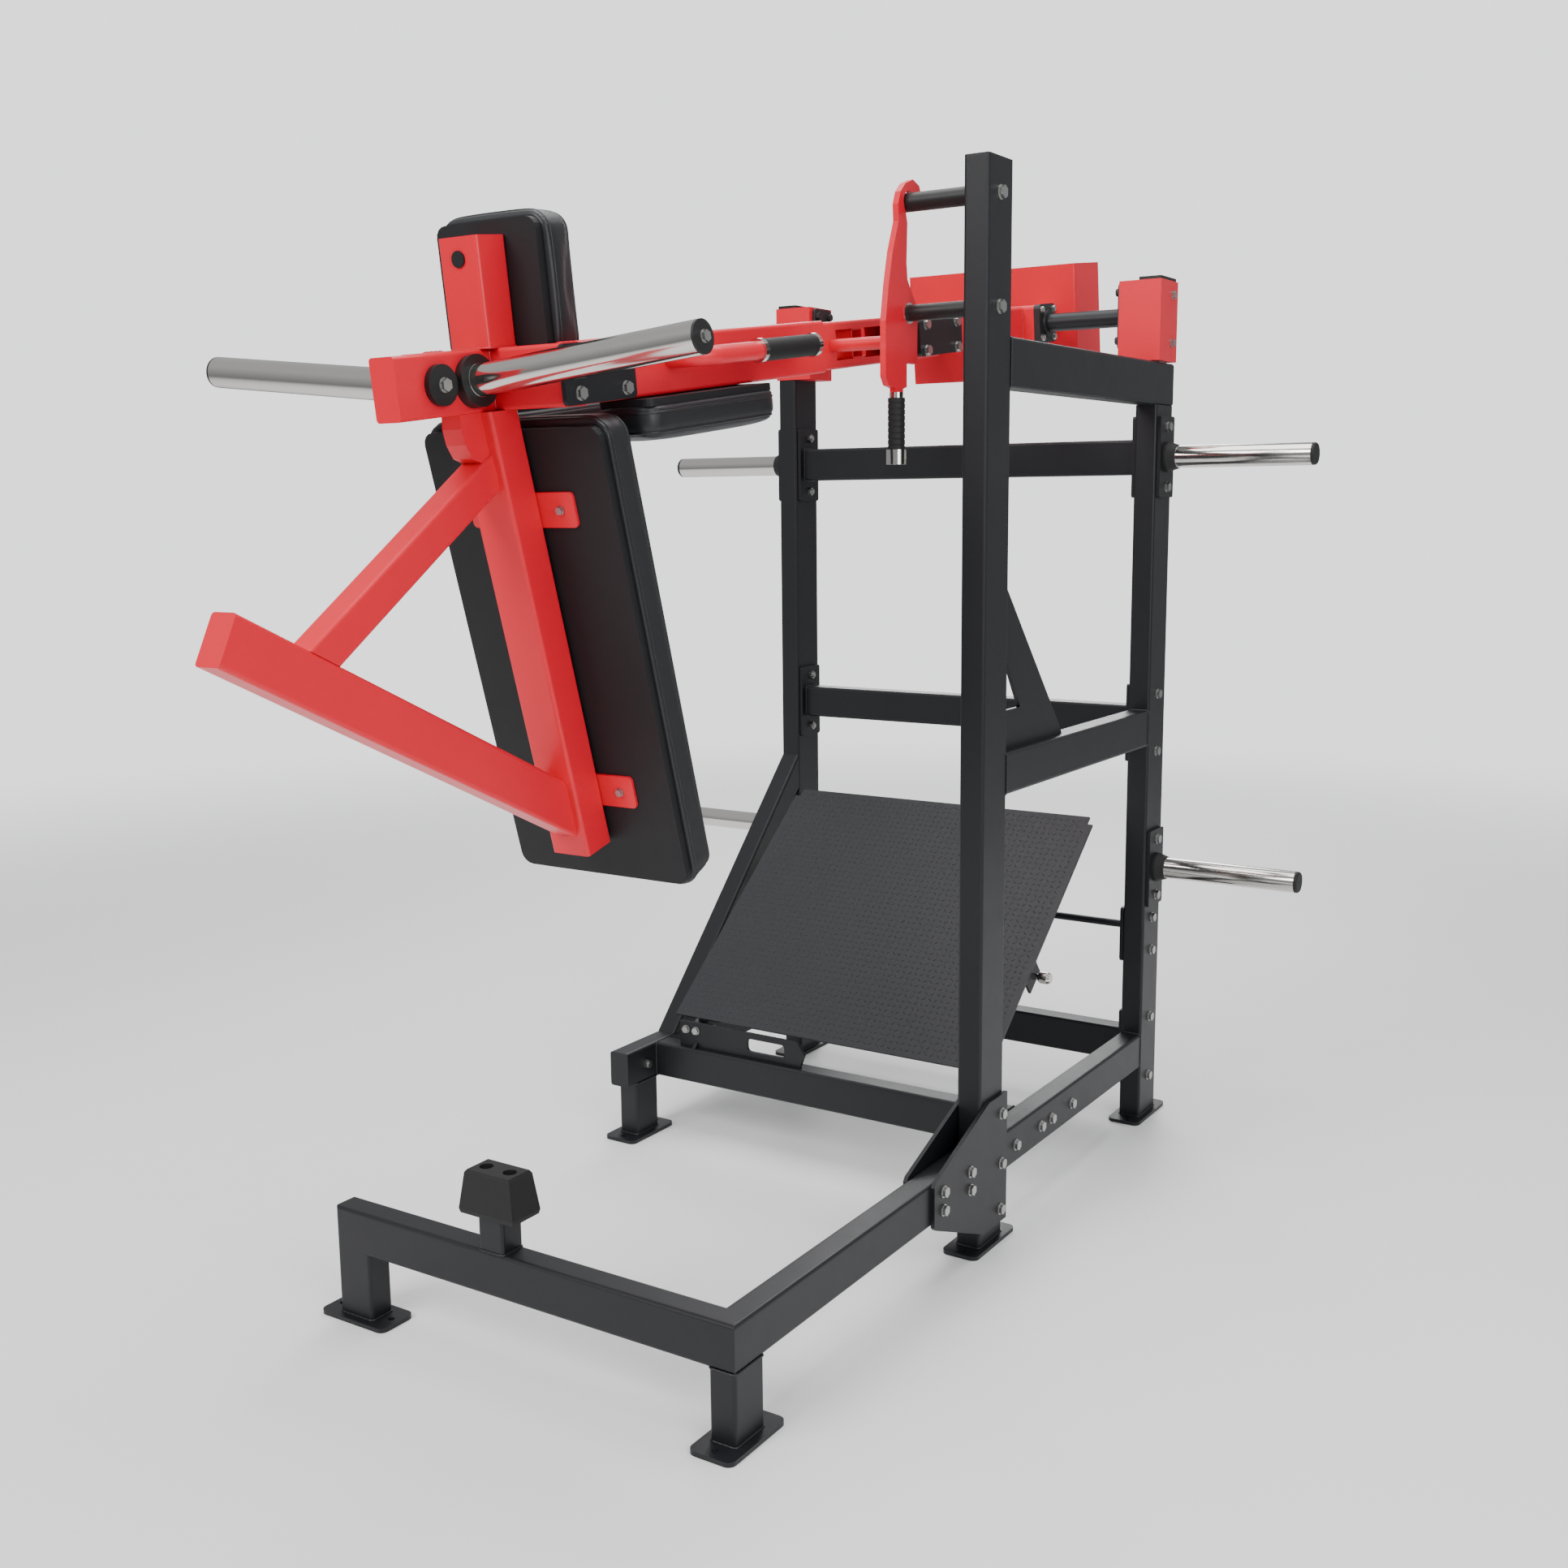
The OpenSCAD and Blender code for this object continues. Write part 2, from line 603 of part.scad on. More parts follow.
// Horn collars, horn end plugs, nose washers and a disc in front of the post top
module arm_caps() color(rubber) on_arm() {
  difference() {
    horn_axes() difference() {
      translate([0,0,-8]) cylinder(h=24,r=40);
      translate([0,0,-9]) cylinder(h=30,r=horn_d/2+0.6);
    }
    nose_space();
  }
  horn_axes() translate([0,0,horn_len]) difference() {
    union() {
      cylinder(h=4,r=horn_d/2-0.2);
      translate([0,0,-14]) cylinder(h=14,r=horn_d/2-4.1);
    }
    translate([0,0,-15]) cylinder(h=30,r=5.3);
  }
  nose_washer(left_horn_y);
  left() nose_washer(right_horn_y);
  translate([0,cross_front-16,182]) rotate([90,0,0]) cylinder(h=3,r=12.5);
}

// ---- Back post and stop beam ----
// Gusset in front of the post; gap enlarges it for use as a cutter
module nose_gusset(gap=0) from_pivot() slab_x(-20-gap,20+gap)
  polygon([[-1742-gap,1620], [-1740-gap,1562], [-1732-gap,1538-gap], [-1718-gap,1518-gap],
    [-1655,1498-gap], [-1655,1620]]);
module back_post() color(red) {
  on_arm() tube_z(0,(cross_front+cross_back)/2-8,yoke_h/2,215,80,66,cap1=5);
  difference() {
    union() {
      on_post() translate([0,17,0]) tube(80,66,800,cap0=5);
      nose_gusset();
    }
    on_arm() box(-300,300,-2400,-1000,-yoke_h/2,300);
    on_post() box(-36,36,-12,46,5,760);
  }
}
// Stop beam with the brace that rises from it to the post
module stop_beam() color(red) difference() {
  union() {
    on_stop() tube_y(0,beam_h/2,0,900,50,beam_h,cap0=5);
    difference() {
      from_pivot() translate([0,-1999,1228]) rotate([35.5,0,0]) tube_y(0,28,-150,520,50,56);
      on_stop() box(-40,40,-100,1200,-100,beam_h-1);
    }
  }
  on_post() box(-60,60,-16,600,-300,900);
  nose_gusset(0.05);
}

// ---- Pads ----
bracket_heights = [97, 593];
module pad_bolt_places() for (z = bracket_heights) both() translate([82,0,z]) children();
module pad_holes() pad_bolt_places()
  translate([0,40,0]) rotate([-90,0,0]) cylinder(h=24,r=4.3);
module pad_brackets() color(red) on_post() difference() {
  for (z = bracket_heights) panel_y(55,z,224,58,5,8);
  pad_holes();
}
module pad_boards() color(rubber) {
  on_post() difference() {
    panel_y(70,pad_mid_z,pad_w-28,pad_len-36,15,22);
    pad_holes();
  }
  on_arm() panel_y(cross_back+15,136,head_w-26,204,15,18);
  on_arm() both() translate([shoulder_x,-1342,shoulder_top]) rounded_plate(110,360,12,14);
}
module back_pad() color(vinyl) on_post() panel_y(70+pad_t,pad_mid_z,pad_w,pad_len,pad_t,26,6);
module head_pad() color(vinyl) on_arm() panel_y(cross_back+81,136,head_w,232,66,24,6);
module shoulder_pads() color(vinyl) on_arm() both()
  slab_x(shoulder_x-65,shoulder_x+65) polygon(shoulder_outline);

// ---- Handles ----
module on_handle(y) translate([handle_x,y,8]) rotate([-90,0,0]) children();
module handle_tubes() color(red) on_arm() both() {
  cyl_x(yoke_x,handle_x-40,-1408,8,16);
  translate([handle_x-40,-1368,8]) rotate([0,0,-90])
    rotate_extrude(angle=90) translate([40,0]) circle(r=16);
  on_handle(-1368) cylinder(h=300,r=16);
}
// The front ring is bored through, the rear one is closed behind; [y, bore length]
module handle_rings() color(chrome) on_arm() both() for (ring = [[-1251,13], [-1077,10]])
  on_handle(ring[0]) difference() {
    cylinder(h=11,r=20.5);
    translate([0,0,-1]) cylinder(h=ring[1],r=16.05);
  }
module handle_grips() color(rubber) on_arm() both() on_handle(-1240) difference() {
  cylinder(h=163,r=19);
  translate([0,0,-1]) cylinder(h=165,r=16.05);
}

// ---- Foot deck ----
module deck_plate() color(graphite) on_deck() difference() {
  translate([deck_x,deck_len/2,-5]) linear_extrude(5) square([deck_w,deck_len],center=true);
  translate([deck_x,0,0]) both() box(deck_w/2-14,deck_w/2+1,deck_len-22,deck_len+1,-6,1);
}
// Rails under the deck, lugs for the tilt pins and forks for the hinge
module deck_frame() color(black) {
  on_deck() {
    both() tube_y(266,-17.6,14,deck_len-30,22,25,3,3,r=3);
    for (y = [120,640]) tube_x(y,-17.6,-255,255,25,25,r=3);
    both() difference() {
      box(372,378,250,312,-66,-5.1);
      cyl_x(371,379,deck_pin_y,deck_pin_z,7.05);
    }
    both() difference() {
      box(255,277,262,300,-62,-30.1);
      cyl_x(254,278,deck_pin_y,deck_pin_z,7.05);
    }
  }
  both() from_pivot() difference() {
    for (x = [326,346]) {
      cyl_x(x,x+8,hinge_y,hinge_z,17);
      slab_x(x,x+8) polygon([[hinge_y-14,hinge_z-6], [hinge_y+14,hinge_z-8],
        [hinge_y+34,hinge_z+34.5], [hinge_y-9,hinge_z+37]]);
    }
    cyl_x(320,360,hinge_y,hinge_z,8.02);
    tilt_deck() box(300,400,-60,200,-5,80);
  }
}
// Hinge pins on both sides and the plain tilt pin on the left
module hinge_pins() color(zinc) from_pivot() {
  both() {
    cyl_x(322,358,hinge_y,hinge_z,8);
    cyl_x(318,322,hinge_y,hinge_z,13);
  }
  left() {
    cyl_x(234,280,pin_y,pin_z,7);
    cyl_x(280,284,pin_y,pin_z,11);
  }
}
// Bars from the tie rod to the tilt pins, slotted at the pin
module tilt_bars() color(black) from_pivot() both() difference() {
  translate([240,rod_y,rod_z]) rotate([bar_angle,0,0]) slab_x(0,8) difference() {
    union() {
      circle(r=20);
      translate([-bar_len-34,-18]) square([bar_len+34,36]);
    }
    translate([-bar_len-16,-10]) square([32,20]);
    for (y = [-16,16]) translate([-bar_len+y,0]) circle(r=10);
  }
  cyl_x(239,249,rod_y,rod_z,rod_r+run_c);
}
module pull_pin() color(chrome) from_pivot() {
  cyl_x(236,392,pin_y,pin_z,7);
  translate([392,pin_y,pin_z]) rotate([0,90,0]) rotate_extrude()
    polygon([[0,0],[9,0],[13,5],[13,22],[10,28],[0,28]]);
}

front_cross_tube();
front_side_tube();
base_legs();
bumper_post();
bumper_block();
bumper_screws();
tall_upright();
joint_plates();
joint_bolts();
right_base_beam();
right_mid_beam();
right_top_beam();
side_gusset();
right_rear_upright();
left_rear_upright();
left_base_beam();
left_brace();
front_low_beam();
rear_cross_beams();
frame_bolts();
foot_plates();
storage_flanges();
storage_tubes();
storage_collars();
bearing_housings();
end_caps();
pivot_axle();
axle_flanges();
stop_pegs();
tie_rod();
hinge_bracket();
latch_lever();
latch_grip();
latch_rings();
hub_tube();
counterweight_box();
ballast_plates();
hub_bearings();
splice_plates();
arm_bolts();
yoke_arms();
yoke_links();
nose_beam();
weight_horns();
arm_caps();
back_post();
stop_beam();
pad_brackets();
pad_boards();
back_pad();
head_pad();
shoulder_pads();
handle_tubes();
handle_rings();
handle_grips();
deck_plate();
deck_frame();
hinge_pins();
tilt_bars();
pull_pin();
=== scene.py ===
"""Exercise machine: a floor stand, a swing arm with padded cushions and a sloping foot deck.

Metres, z up, floor at z = 0, width along x. The arm reaches towards -y from the head of
the stand, and the deck rises towards +y. CAD pieces get materials; the cushions, the deck
tread and the weld beads are built here.
"""
import json
import math
import bpy
import bmesh
import numpy as np
from mathutils import Matrix, Vector
from mathutils.bvhtree import BVHTree


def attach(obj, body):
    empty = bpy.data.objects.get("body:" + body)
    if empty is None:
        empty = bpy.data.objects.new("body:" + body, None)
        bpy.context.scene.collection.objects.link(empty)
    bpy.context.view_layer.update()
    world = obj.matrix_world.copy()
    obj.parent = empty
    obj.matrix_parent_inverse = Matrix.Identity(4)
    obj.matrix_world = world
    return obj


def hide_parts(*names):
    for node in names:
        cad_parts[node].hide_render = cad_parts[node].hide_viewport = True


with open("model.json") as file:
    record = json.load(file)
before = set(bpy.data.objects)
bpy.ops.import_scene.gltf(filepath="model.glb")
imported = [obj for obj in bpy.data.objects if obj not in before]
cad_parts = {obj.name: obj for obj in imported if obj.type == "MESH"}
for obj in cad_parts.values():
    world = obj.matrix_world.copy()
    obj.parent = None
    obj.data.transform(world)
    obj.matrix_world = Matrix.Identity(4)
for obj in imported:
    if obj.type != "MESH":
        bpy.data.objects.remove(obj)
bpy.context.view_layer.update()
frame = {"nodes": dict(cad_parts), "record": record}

STAND_Y = 0.9632016  # y of the stand's origin, from which all other y places are measured


def tilted_frame(y, z, degrees):
    """Local frame at a place measured from the stand's origin, turned about x."""
    turn = Matrix.Rotation(math.radians(degrees), 4, "X")
    return Matrix.Translation((0, STAND_Y + y, z)) @ turn


def axes_frame(x_axis, y_axis, z_axis, origin):
    matrix = Matrix.Identity(4)
    for column, axis in enumerate((x_axis, y_axis, z_axis)):
        for row in range(3):
            matrix[row][column] = axis[row]
    matrix.translation = Vector(origin)
    return matrix


ARM = tilted_frame(y=0, z=1.845, degrees=7.0)
POST = tilted_frame(y=-1.474, z=0.853, degrees=15.6)
DECK = tilted_frame(y=-0.645, z=0.275, degrees=39.5)
STAND = tilted_frame(y=0, z=0, degrees=0)


# ---------------------------------------------------------------- materials
def set_attributes(target, **values):
    for key, value in values.items():
        setattr(target, key, value)


def set_inputs(tree, node, inputs):
    """Link the inputs given as sockets and set the others."""
    for key, value in inputs.items():
        if isinstance(value, bpy.types.NodeSocket):
            tree.links.new(value, node.inputs[key])
        else:
            node.inputs[key].default_value = value


def add_node(tree, kind, inputs=None, **settings):
    node = tree.nodes.new("ShaderNode" + kind)
    set_attributes(node, **settings)  # first, as they decide which inputs are in use
    set_inputs(tree, node, inputs or {})
    return node


def relief_height(tree, coords, kind, scale):
    """Height for the bump: cell edges (grain), streaks along x (brush) or plain noise."""
    if kind == "grain":
        cells = add_node(tree, "TexVoronoi", {"Scale": scale, "Vector": coords},
                         feature="DISTANCE_TO_EDGE")
        return cells.outputs["Distance"]
    detail = 4.0
    if kind == "brush":
        detail = 3.0
        stretch = add_node(tree, "Mapping", {"Scale": (1.0, 14.0, 14.0), "Vector": coords})
        coords = stretch.outputs["Vector"]
    noise = add_node(tree, "TexNoise", {"Scale": scale, "Detail": detail, "Vector": coords})
    return noise.outputs["Fac"]


def material(name, color, roughness, metallic=0.0, coat=0.0, specular=0.5, sheen=0.0,
             kind="noise", scale=600.0, bump=0.1, depth=0.0006,
             vary=0.04, tint=0.06, edge_highlight=0.0):
    """kind, scale, bump and depth shape the relief; vary and tint are the spread of
    roughness and colour; the last argument is how far convex edges lighten, as a painted
    edge highlight."""
    made = bpy.data.materials.new(name)
    made.use_nodes = True
    tree = made.node_tree
    coords = add_node(tree, "TexCoord").outputs["Object"]

    clouds = add_node(tree, "TexNoise", {"Scale": 7.0, "Detail": 5.0, "Vector": coords})
    base_color = add_node(tree, "Mix", {
        "Factor": clouds.outputs["Fac"],
        "A": (*[c * (1 - tint) for c in color], 1),
        "B": (*[min(1, c * (1 + tint) + 0.0015) for c in color], 1),
    }, data_type="RGBA").outputs["Result"]

    smear = add_node(tree, "TexNoise", {
        "Scale": 22.0, "Detail": 6.0, "Distortion": 0.6, "Vector": coords})
    rough_range = add_node(tree, "MapRange", {
        "Value": smear.outputs["Fac"],
        "To Min": max(0.02, roughness - vary),
        "To Max": roughness + vary})

    # Painted highlight: convex edges, found by pointiness, are mixed towards a lighter copy
    # of the colour.
    if edge_highlight > 0:
        geometry = add_node(tree, "NewGeometry")
        edges = add_node(tree, "MapRange", {
            "Value": geometry.outputs["Pointiness"],
            "From Min": 0.53, "From Max": 0.60, "To Max": edge_highlight})
        base_color = add_node(tree, "Mix", {
            "Factor": edges.outputs["Result"],
            "A": base_color,
            "B": (*[min(1, c * 1.8 + 0.02) for c in color], 1),
        }, data_type="RGBA").outputs["Result"]

    relief = add_node(tree, "Bump", {
        "Strength": bump, "Distance": depth,
        "Height": relief_height(tree, coords, kind, scale)})
    set_inputs(tree, tree.nodes["Principled BSDF"], {
        "Base Color": base_color,
        "Roughness": rough_range.outputs["Result"],
        "Metallic": metallic,
        "Coat Weight": coat,
        "Coat Roughness": 0.06,
        "Specular IOR Level": specular,
        "Sheen Weight": sheen,
        "Normal": relief.outputs["Normal"]})
    return made


BLACK_PAINT = (0.0058, 0.0064, 0.0086)
# frame_black and tread lighten their convex edges: a painted edge highlight.
LOOKS = {
    "frame_black": dict(color=BLACK_PAINT, roughness=0.41, bump=0.35, scale=900,
                        depth=0.0004, edge_highlight=0.10, specular=0.32),
    "arm_red": dict(color=(0.72, 0.0062, 0.0240), roughness=0.38, coat=0.10, bump=0.03,
                    scale=220, depth=0.0004, tint=0.03, specular=0.32),
    "rubber": dict(color=(0.0085, 0.0085, 0.009), roughness=0.62, bump=0.35, scale=700,
                   specular=0.35),
    "zinc": dict(color=(0.42, 0.42, 0.41), roughness=0.32, metallic=1.0, bump=0.12,
                 scale=160, kind="brush"),
    "chrome": dict(color=(0.60, 0.585, 0.555), roughness=0.12, metallic=1.0, bump=0.03,
                   scale=60, kind="brush", vary=0.05, tint=0.02),
    "black_plastic": dict(color=(0.008, 0.008, 0.0085), roughness=0.45, bump=0.2,
                          scale=1100, specular=0.4),
    "cast_black": dict(color=(0.010, 0.010, 0.011), roughness=0.50, bump=0.5, scale=320,
                       depth=0.0008),
    "ballast": dict(color=(0.10, 0.095, 0.09), roughness=0.55, metallic=0.8, bump=0.4,
                    scale=200),
    "board": dict(color=(0.0062, 0.0064, 0.0080), roughness=0.60, bump=0.3, scale=900,
                  kind="grain", specular=0.35),
    "vinyl": dict(color=(0.0065, 0.0073, 0.0098), roughness=0.42, bump=0.32, scale=520,
                  kind="grain", depth=0.0005, specular=0.45, sheen=0.05),
    "piping": dict(color=(0.007, 0.0075, 0.009), roughness=0.38, bump=0.2, scale=700,
                   kind="grain", specular=0.5),
    "tread": dict(color=(0.0125, 0.0134, 0.0162), roughness=0.40, bump=0.3, scale=800,
                  depth=0.0004, edge_highlight=0.2, specular=0.4),
    "weld_black": dict(color=BLACK_PAINT, roughness=0.42, bump=0.5, scale=300),
    "weld_red": dict(color=(0.58, 0.0060, 0.0220), roughness=0.34, coat=0.15, bump=0.3,
                     scale=300),
    "inner_dark": dict(color=(0.008, 0.008, 0.008), roughness=0.8, bump=0.2, scale=300),
}
MATERIALS = {name: material(name, **look) for name, look in LOOKS.items()}
for part in frame["record"]["subparts"]:
    slots = frame["nodes"][part["node"]].data.materials
    slots.clear()
    slots.append(MATERIALS[part["material_slot"]])


# ---------------------------------------------------------------- mesh helpers
def shade_smooth(mesh):
    for polygon in mesh.polygons:
        polygon.use_smooth = True


def new_object(name, verts, faces, mat):
    mesh = bpy.data.meshes.new(name)
    mesh.from_pydata([tuple(v) for v in verts], [], faces)
    mesh.validate()
    mesh.update()
    made = bpy.data.objects.new(name, mesh)
    bpy.context.scene.collection.objects.link(made)
    mesh.materials.append(mat)
    shade_smooth(mesh)
    return made


def join_meshes(name, parts, mat):
    verts, faces = [], []
    for part_verts, part_faces in parts:
        start = len(verts)
        verts += part_verts
        faces += [tuple(i + start for i in face) for face in part_faces]
    return new_object(name, verts, faces, mat)


def register(piece, body, slot, *nodes):
    if nodes:
        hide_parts(*nodes)
    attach(piece, body)


def rounded_rect(width, depth, radius, steps=8):
    """Outline centred on the origin, with this many steps round each corner."""
    points = []
    for corner in range(4):
        center_x = (width / 2 - radius) * (1 if corner in (0, 3) else -1)
        center_y = (depth / 2 - radius) * (1 if corner < 2 else -1)
        for i in range(steps + 1):
            angle = math.radians(corner * 90 + i * 90 / steps)
            points.append((center_x + radius * math.cos(angle),
                           center_y + radius * math.sin(angle)))
    return points


def resample(points, step):
    """Points about a step apart along a closed polyline."""
    points = [Vector(p) for p in points]
    result = []
    for start, end in zip(points, points[1:] + points[:1]):
        count = max(1, int(round((end - start).length / step)))
        result += [start.lerp(end, j / count) for j in range(count)]
    return result


def closed_tube(path, radius, sides=8, ripple=0.0):
    """Tube round a closed path; ripple gives the scales of a weld bead."""
    count = len(path)
    verts, faces = [], []
    up = None
    for i, point in enumerate(path):
        tangent = (path[(i + 1) % count] - path[i - 1]).normalized()
        if up is None:
            up = Vector((0, 0, 1)) if abs(tangent.z) < 0.9 else Vector((1, 0, 0))
        side = tangent.cross(up)
        if side.length < 1e-6:
            side = tangent.cross(Vector((0, 1, 0)))
        side.normalize()
        up = side.cross(tangent).normalized()
        local_radius = radius * (1 + ripple * math.sin(i * 2.1))
        ring, next_ring = i * sides, (i + 1) % count * sides
        for k in range(sides):
            angle = 2 * math.pi * k / sides
            verts.append(point + side * (local_radius * math.cos(angle))
                         + up * (local_radius * math.sin(angle)))
            after = (k + 1) % sides
            faces.append((ring + k, next_ring + k, next_ring + after, ring + after))
    return verts, faces


def apply_modifier(target, kind, **settings):
    modifier = target.modifiers.new(kind.lower(), kind)
    set_attributes(modifier, **settings)
    bpy.ops.object.modifier_apply(modifier=modifier.name)


# ---------------------------------------------------------------- cushions
# A cushion is built lying on z = 0 with its face up, then moved to its place.
BLOCK_INSET = 0.003      # the block starts this much inside the finished sides
FACE_ALLOWANCE = 0.003   # and this much below the finished face
PIPING_REACH = 0.03      # rays that find the seam start this far outside the cushion


def cushion_block(name, width, length, height, corner):
    """Closed block with a rounded upper edge; ring rows are z and inset."""
    rings = [(0.0, 0.004), (0.003, 0.0), (height * 0.5, 0.0), (height - 0.014, 0.0),
             (height - 0.007, 0.002), (height - 0.002, 0.007), (height, 0.014)]
    verts, faces = [], []
    for z, inset in rings:
        outline = rounded_rect(width - 2 * inset, length - 2 * inset, corner - inset)
        verts += [(x, y, z) for x, y in outline]
    count = len(outline)
    for k in range(len(rings) - 1):
        for j in range(count):
            a, b = k * count + j, k * count + (j + 1) % count
            faces.append((a, b, b + count, a + count))
    faces.append(tuple(reversed(range(count))))
    faces.append(tuple((len(rings) - 1) * count + j for j in range(count)))
    return new_object(name, verts, faces, MATERIALS["vinyl"])


def mesh_points(mesh):
    return np.array([v.co for v in mesh.vertices])


def inflate(block, voxel, bulge_limit):
    """Puff the block up as pressurised cloth; return its smoothed, limited points."""
    bpy.context.view_layer.objects.active = block
    for selected in bpy.context.selected_objects:
        selected.select_set(False)
    block.select_set(True)
    apply_modifier(block, "REMESH", mode="VOXEL", voxel_size=voxel)
    rest = mesh_points(block.data)
    pin = block.vertex_groups.new(name="pin")
    pin.add([i for i, point in enumerate(rest) if point[2] < 0.005], 1.0, "REPLACE")

    cloth = block.modifiers.new("cloth", "CLOTH")
    set_attributes(cloth.settings, quality=4, mass=0.25, tension_stiffness=12,
                   compression_stiffness=12, shear_stiffness=4, bending_stiffness=0.5,
                   use_pressure=True, uniform_pressure_force=4.0, vertex_group_mass="pin")
    cloth.settings.effector_weights.gravity = 0.0
    set_attributes(cloth.point_cache, frame_start=1, frame_end=20)
    for frame_number in range(1, 21):
        bpy.context.scene.frame_set(frame_number)
    bpy.ops.object.modifier_apply(modifier=cloth.name)
    bpy.context.scene.frame_set(1)

    # Average the shift of each vertex with its neighbours, to take out wrinkles.
    shift = mesh_points(block.data) - rest
    edges = np.array([edge.vertices[:] for edge in block.data.edges])
    neighbours = np.bincount(edges.ravel(), minlength=len(rest))[:, None]
    for _ in range(14):
        total = np.zeros_like(shift)
        np.add.at(total, edges[:, 0], shift[edges[:, 1]])
        np.add.at(total, edges[:, 1], shift[edges[:, 0]])
        shift = 0.4 * shift + 0.6 * total / neighbours

    # Keep the base nearly still and ease every shift in under the limit.
    shift[rest[:, 2] < 0.004] *= 0.2
    shift[:, 2] = np.maximum(shift[:, 2], -0.001)
    size = np.linalg.norm(shift, axis=1)
    size[size < 1e-9] = 1e-9
    shift *= (bulge_limit * np.tanh(size / bulge_limit) / size)[:, None]
    return rest + shift


def crown_and_seams(points, width, length, height, crown, seams):
    """Raise the middle of the face and draw the sides in along the seams."""
    across = np.clip(1 - (2 * points[:, 0] / width) ** 2, 0, 1)
    along = np.clip(1 - (2 * points[:, 1] / length) ** 4, 0, 1)
    face = np.clip((points[:, 2] - height * 0.6) / (height * 0.4), 0, 1)
    points[:, 2] += crown * (across * along) * face
    half = np.array([width / 2, length / 2])
    for seam_z, pull, _ in seams:
        amount = pull * np.exp(-((points[:, 2] - seam_z) / 0.004) ** 2)
        plan = np.abs(points[:, :2])
        amount = amount * (np.max(plan / half, axis=1) > 0.8)
        outward = np.where(plan > half - 0.03, np.sign(points[:, :2]), 0)
        points[:, :2] -= outward * amount[:, None]


def piping_tube(tree, width, length, corner, seam_z, radius):
    """Tube laid where rays cast inwards meet the side of the cushion."""
    outline = rounded_rect(width + 2 * PIPING_REACH, length + 2 * PIPING_REACH,
                           corner + PIPING_REACH, 10)
    path = []
    for start in resample([(x, y, seam_z) for x, y in outline], 0.008):
        past_x = max(abs(start.x) - (width / 2 - corner), 0.0)
        past_y = max(abs(start.y) - (length / 2 - corner), 0.0)
        inward = Vector((-math.copysign(past_x, start.x),
                         -math.copysign(past_y, start.y), 0)).normalized()
        hit = tree.ray_cast(start, inward)[0]
        if hit is not None and (hit - start).length < 0.09:
            path.append(hit + inward * 0.0004)
    return closed_tube(path, radius)


def cushion(name, width, length, thickness, corner, place, bulge_limit, node,
            crown, voxel):
    height = thickness - FACE_ALLOWANCE
    # z, inward pull and piping radius of the face seam and the base seam
    seams = ((height - 0.008, 0.0022, 0.0026),
             (0.010, 0.0016, 0.0022))
    pad = cushion_block(name, width - 2 * BLOCK_INSET, length - 2 * BLOCK_INSET,
                        height, corner)
    points = inflate(pad, voxel, bulge_limit)
    crown_and_seams(points, width, length, height, crown, seams)
    for vertex, point in zip(pad.data.vertices, points):
        vertex.co = point
    apply_modifier(pad, "SMOOTH", iterations=3, factor=0.4)
    apply_modifier(pad, "SUBSURF", levels=1, render_levels=1)
    shade_smooth(pad.data)

    work = bmesh.new()
    work.from_mesh(pad.data)
    tree = BVHTree.FromBMesh(work)
    work.free()
    tubes = [piping_tube(tree, width, length, corner, seam_z, radius)
             for seam_z, _, radius in seams]
    piping = join_meshes(name + "_piping", tubes, MATERIALS["piping"])
    for piece in (pad, piping):
        piece.data.transform(place)
        piece.data.update()
    register(pad, "swing_arm", "vinyl", node)
    register(piping, "swing_arm", "vinyl")


FACING_PLUS_Y = ((-1, 0, 0), (0, 0, 1), (0, 1, 0))  # cushion x, y, z axes; length upright
FACING_DOWN = ((-1, 0, 0), (0, 1, 0), (0, 0, -1))   # length along the arm
BACK_LENGTH = 0.832
BACK_BOTTOM = -0.090
SHOULDER_X = 0.150
cushion("back_cushion", width=0.400, length=BACK_LENGTH, thickness=0.068, corner=0.045,
        place=POST @ axes_frame(*FACING_PLUS_Y, (0, 0.070, BACK_BOTTOM + BACK_LENGTH / 2)),
        bulge_limit=0.008, node="back_pad", crown=0.009, voxel=0.006)
cushion("head_cushion", width=0.230, length=0.232, thickness=0.066, corner=0.034,
        place=ARM @ axes_frame(*FACING_PLUS_Y, (0, -1.619, 0.136)),
        bulge_limit=0.003, node="head_pad", crown=0.009, voxel=0.005)
for side_name, sign in (("right", 1), ("left", -1)):
    cushion("shoulder_cushion_" + side_name, width=0.130, length=0.384, thickness=0.052,
            corner=0.034,
            place=ARM @ axes_frame(*FACING_DOWN, (sign * SHOULDER_X, -1.341, -0.0615)),
            bulge_limit=0.003, node="shoulder_pads", crown=0.006, voxel=0.005)

# ---------------------------------------------------------------- tread of the foot deck
TREAD_PITCH = 0.0150
TREAD_WIDTH, TREAD_LENGTH = 0.789, 0.692
TREAD_X, TREAD_Y = -0.010, 0.3535         # middle of the tread on the deck
NOTCH_HALF_WIDTH, NOTCH_Y = 0.375, 0.672  # the upper corners beyond these stay bare


def bar_outline(tip, shoulder, half_width):
    """Long hexagon with its points on the x axis."""
    return [(-tip, 0), (-shoulder, -half_width), (shoulder, -half_width),
            (tip, 0), (shoulder, half_width), (-shoulder, half_width)]


